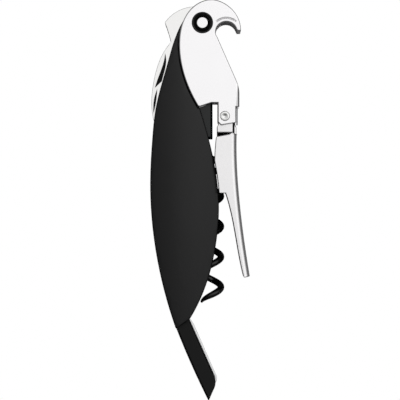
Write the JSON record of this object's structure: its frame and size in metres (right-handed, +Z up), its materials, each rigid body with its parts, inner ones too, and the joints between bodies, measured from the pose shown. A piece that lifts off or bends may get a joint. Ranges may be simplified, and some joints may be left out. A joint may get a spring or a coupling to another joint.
{
  "type": "lever corkscrew",
  "caption": "Folding two-step lever corkscrew in the shape of a long-tailed bird, with a beak cap lifter, a coated worm and a foil knife in the tail.",
  "frame": {"origin": "centre of the folded tool's box, on the surface that it lies on", "axes": "+Y towards the top of the head, +X towards the lever and worm, +Z up out of the upper side; every hinge is along Z"},
  "size_m": [0.033, 0.133, 0.0172],
  "materials": {
    "polished_die_cast": "polished, softly brushed",
    "satin_frame": "satin",
    "wing_plastic": "satin black",
    "tail_plastic": "matt black",
    "core_plastic": "matt black",
    "worm_coating": "non-stick coating, gloss black",
    "hub_coating": "dark slate, satin",
    "eye_ring_plastic": "gloss black",
    "pin_steel": "turned",
    "spring_steel": "ground",
    "blade_steel": "ground",
    "washer_polymer": "natural nylon"
  },
  "bodies": {
    "handle": {"frame_liner_upper": "satin_frame", "frame_liner_lower": "satin_frame", "back_spine": "satin_frame", "core_spacer": "core_plastic", "liner_rivets": "pin_steel", "wing_upper": "wing_plastic", "wing_lower": "wing_plastic", "wing_screws": "pin_steel", "tail_sheath": "tail_plastic", "knife_pivot_pin": "pin_steel", "knife_spring": "spring_steel", "worm_pivot_pin": "pin_steel", "worm_spring": "spring_steel", "main_pivot_pin": "pin_steel", "pivot_washer_upper": "washer_polymer", "pivot_washer_lower": "washer_polymer", "pivot_bush": "pin_steel"},
    "lever": {"head_lever": "polished_die_cast", "eye_ring_upper": "eye_ring_plastic", "eye_ring_lower": "eye_ring_plastic", "knuckle_pin": "pin_steel", "knuckle_spring": "spring_steel"},
    "leg": {"leg_lever": "polished_die_cast"},
    "worm_arm": {"worm": "worm_coating", "worm_hub": "hub_coating"},
    "knife": {"knife_blade": "blade_steel"}
  },
  "joints": [
    {"name": "lever_swing", "type": "hinge", "parent": "handle", "child": "lever", "pos_m": [0.00078, 0.05878, 0.0086], "axis": [0, 0, 1], "range_deg": [0, 100]},
    {"name": "leg_swing", "type": "hinge", "parent": "lever", "child": "leg", "pos_m": [0.00821, 0.02794, 0.0086], "axis": [0, 0, 1], "range_deg": [0, 70]},
    {"name": "worm_fold", "type": "hinge", "parent": "handle", "child": "worm_arm", "pos_m": [0.00078, 0.03458, 0.0086], "axis": [0, 0, 1], "range_deg": [0, 90]},
    {"name": "knife_fold", "type": "hinge", "parent": "handle", "child": "knife", "pos_m": [0.00285, -0.05942, 0.0086], "axis": [0, 0, 1], "range_deg": [-170, 0]}
  ],
  "couplings": [
    {"joint": "worm_fold", "follows": "lever_swing", "ratio": 0.9}
  ]
}
